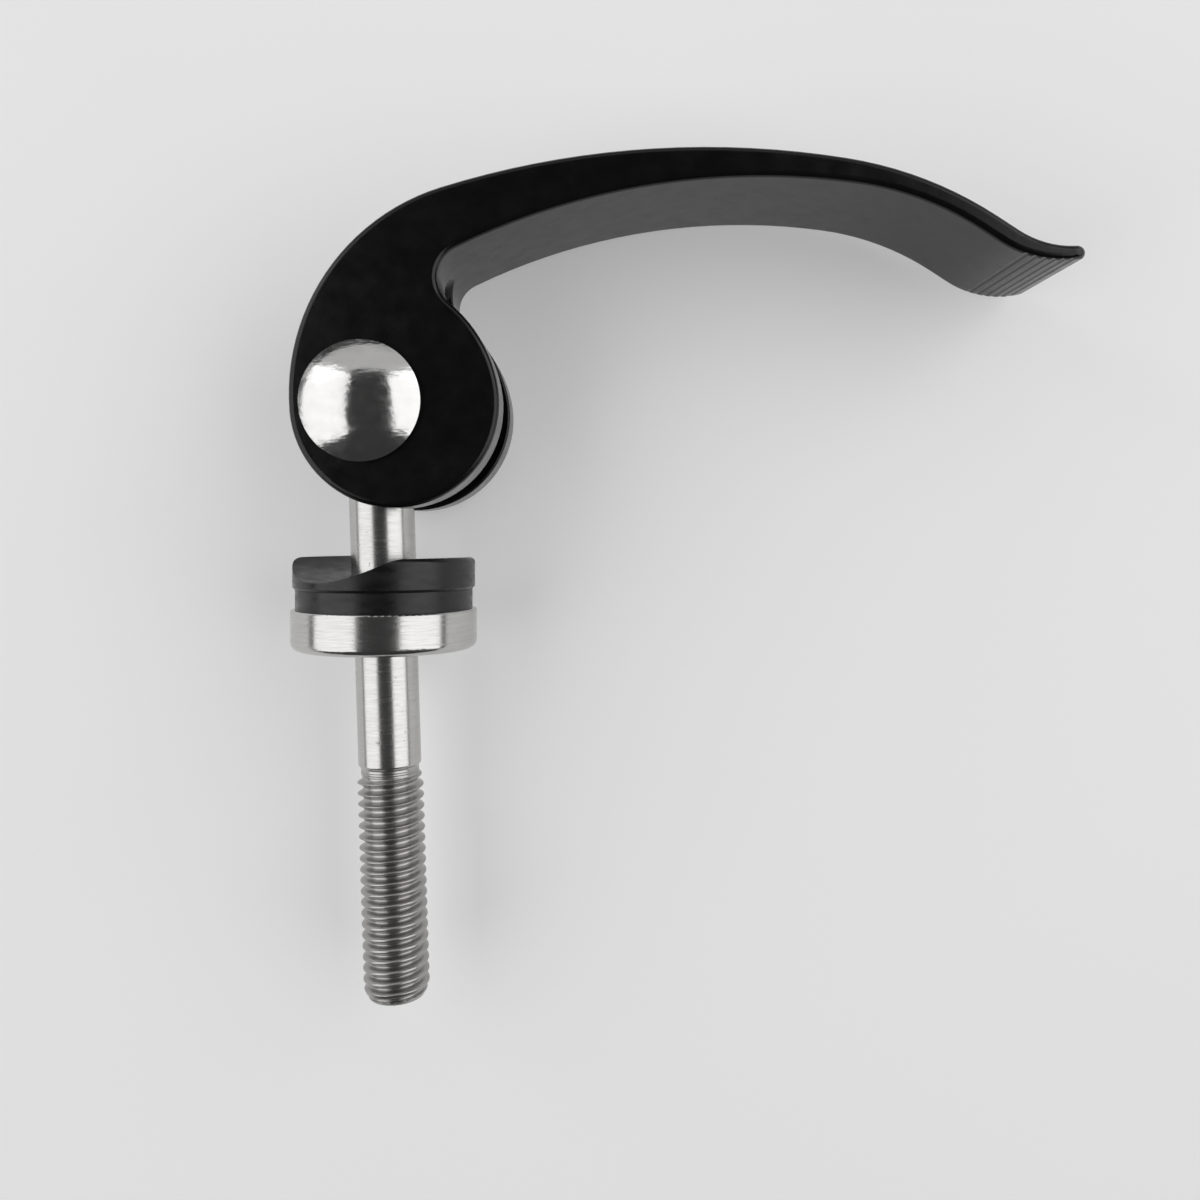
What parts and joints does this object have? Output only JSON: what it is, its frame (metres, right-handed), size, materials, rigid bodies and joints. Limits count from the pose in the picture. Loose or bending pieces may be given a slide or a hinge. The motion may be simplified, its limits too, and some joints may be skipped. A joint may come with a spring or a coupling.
{
  "type": "cam lever",
  "caption": "Eccentric clamping lever with a curved arm, pivot pin, threaded stud, grooved plastic saddle washer and thick steel washer.",
  "frame": {"origin": "on the stud's axis where its thread begins", "axes": "-Y along the stud towards its threaded end, +Z along the pivot pin towards its domed head, +X the way the arm reaches"},
  "size_m": [0.0711, 0.0747, 0.0179],
  "materials": {
    "black_casting": "satin black coating on a die casting",
    "polished_steel": "polished stainless steel",
    "bright_steel": "cold drawn and rolled steel",
    "black_plastic": "moulded black plastic",
    "brushed_steel": "turned steel, brushed round the rim"
  },
  "bodies": {
    "stud_and_pin": {"stud": "bright_steel", "cam_pin": "polished_steel"},
    "lever": {"lever": "black_casting"},
    "washer": {"steel_washer": "brushed_steel"},
    "saddle": {"saddle_washer": "black_plastic"}
  },
  "joints": [
    {"name": "lever_turn", "type": "hinge", "parent": "stud_and_pin", "child": "lever", "pos_m": [0, 0.033, 0], "axis": [0, 0, 1], "range_deg": [-95, 90]},
    {"name": "washer_slide", "type": "slide", "parent": "stud_and_pin", "child": "washer", "axis": [0, -1, 0], "range_m": [-0.0014, 0.03]},
    {"name": "saddle_spin", "type": "hinge", "parent": "washer", "child": "saddle", "pos_m": [0, 0.0148, 0], "axis": [-0.0314, -0.9995, 0], "continuous": true}
  ]
}
